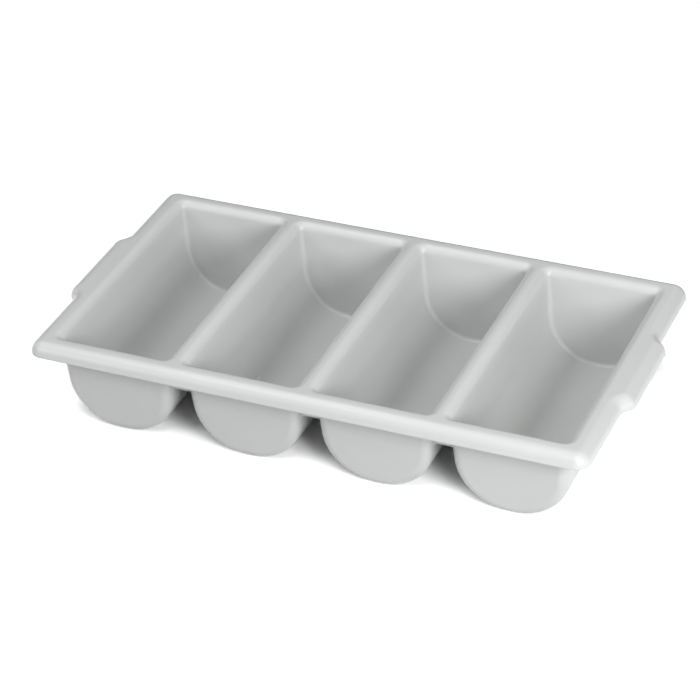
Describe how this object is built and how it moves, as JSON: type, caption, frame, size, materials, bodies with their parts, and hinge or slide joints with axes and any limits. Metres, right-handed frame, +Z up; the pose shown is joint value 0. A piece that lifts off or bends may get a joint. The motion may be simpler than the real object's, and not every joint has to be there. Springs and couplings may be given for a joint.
{
  "type": "four-trough cutlery tray",
  "caption": "Open-topped moulded cutlery tray with side-by-side round-bottomed troughs, a down-turned rim and an ear at each end to lift it by.",
  "frame": {"origin": "middle of the bounding box, on the surface that the troughs stand on", "axes": "+X along the tray's length, across the troughs, to the right; +Y to the back, along each trough; +Z up out of the troughs"},
  "size_m": [0.54, 0.2956, 0.0925],
  "materials": {
    "tray_plastic": "satin light grey polypropylene"
  },
  "bodies": {
    "root": {"trough_1_channel": "tray_plastic", "trough_1_front_end": "tray_plastic", "trough_1_back_end": "tray_plastic", "trough_2_channel": "tray_plastic", "trough_2_front_end": "tray_plastic", "trough_2_back_end": "tray_plastic", "trough_3_channel": "tray_plastic", "trough_3_front_end": "tray_plastic", "trough_3_back_end": "tray_plastic", "trough_4_channel": "tray_plastic", "trough_4_front_end": "tray_plastic", "trough_4_back_end": "tray_plastic", "rim_front": "tray_plastic", "rim_back": "tray_plastic", "rim_left": "tray_plastic", "rim_right": "tray_plastic", "ear_left": "tray_plastic", "ear_right": "tray_plastic", "divider_1": "tray_plastic", "divider_2": "tray_plastic", "divider_3": "tray_plastic", "web_1_front": "tray_plastic", "web_1_back": "tray_plastic", "web_2_front": "tray_plastic", "web_2_back": "tray_plastic", "web_3_front": "tray_plastic", "web_3_back": "tray_plastic"}
  },
  "joints": []
}
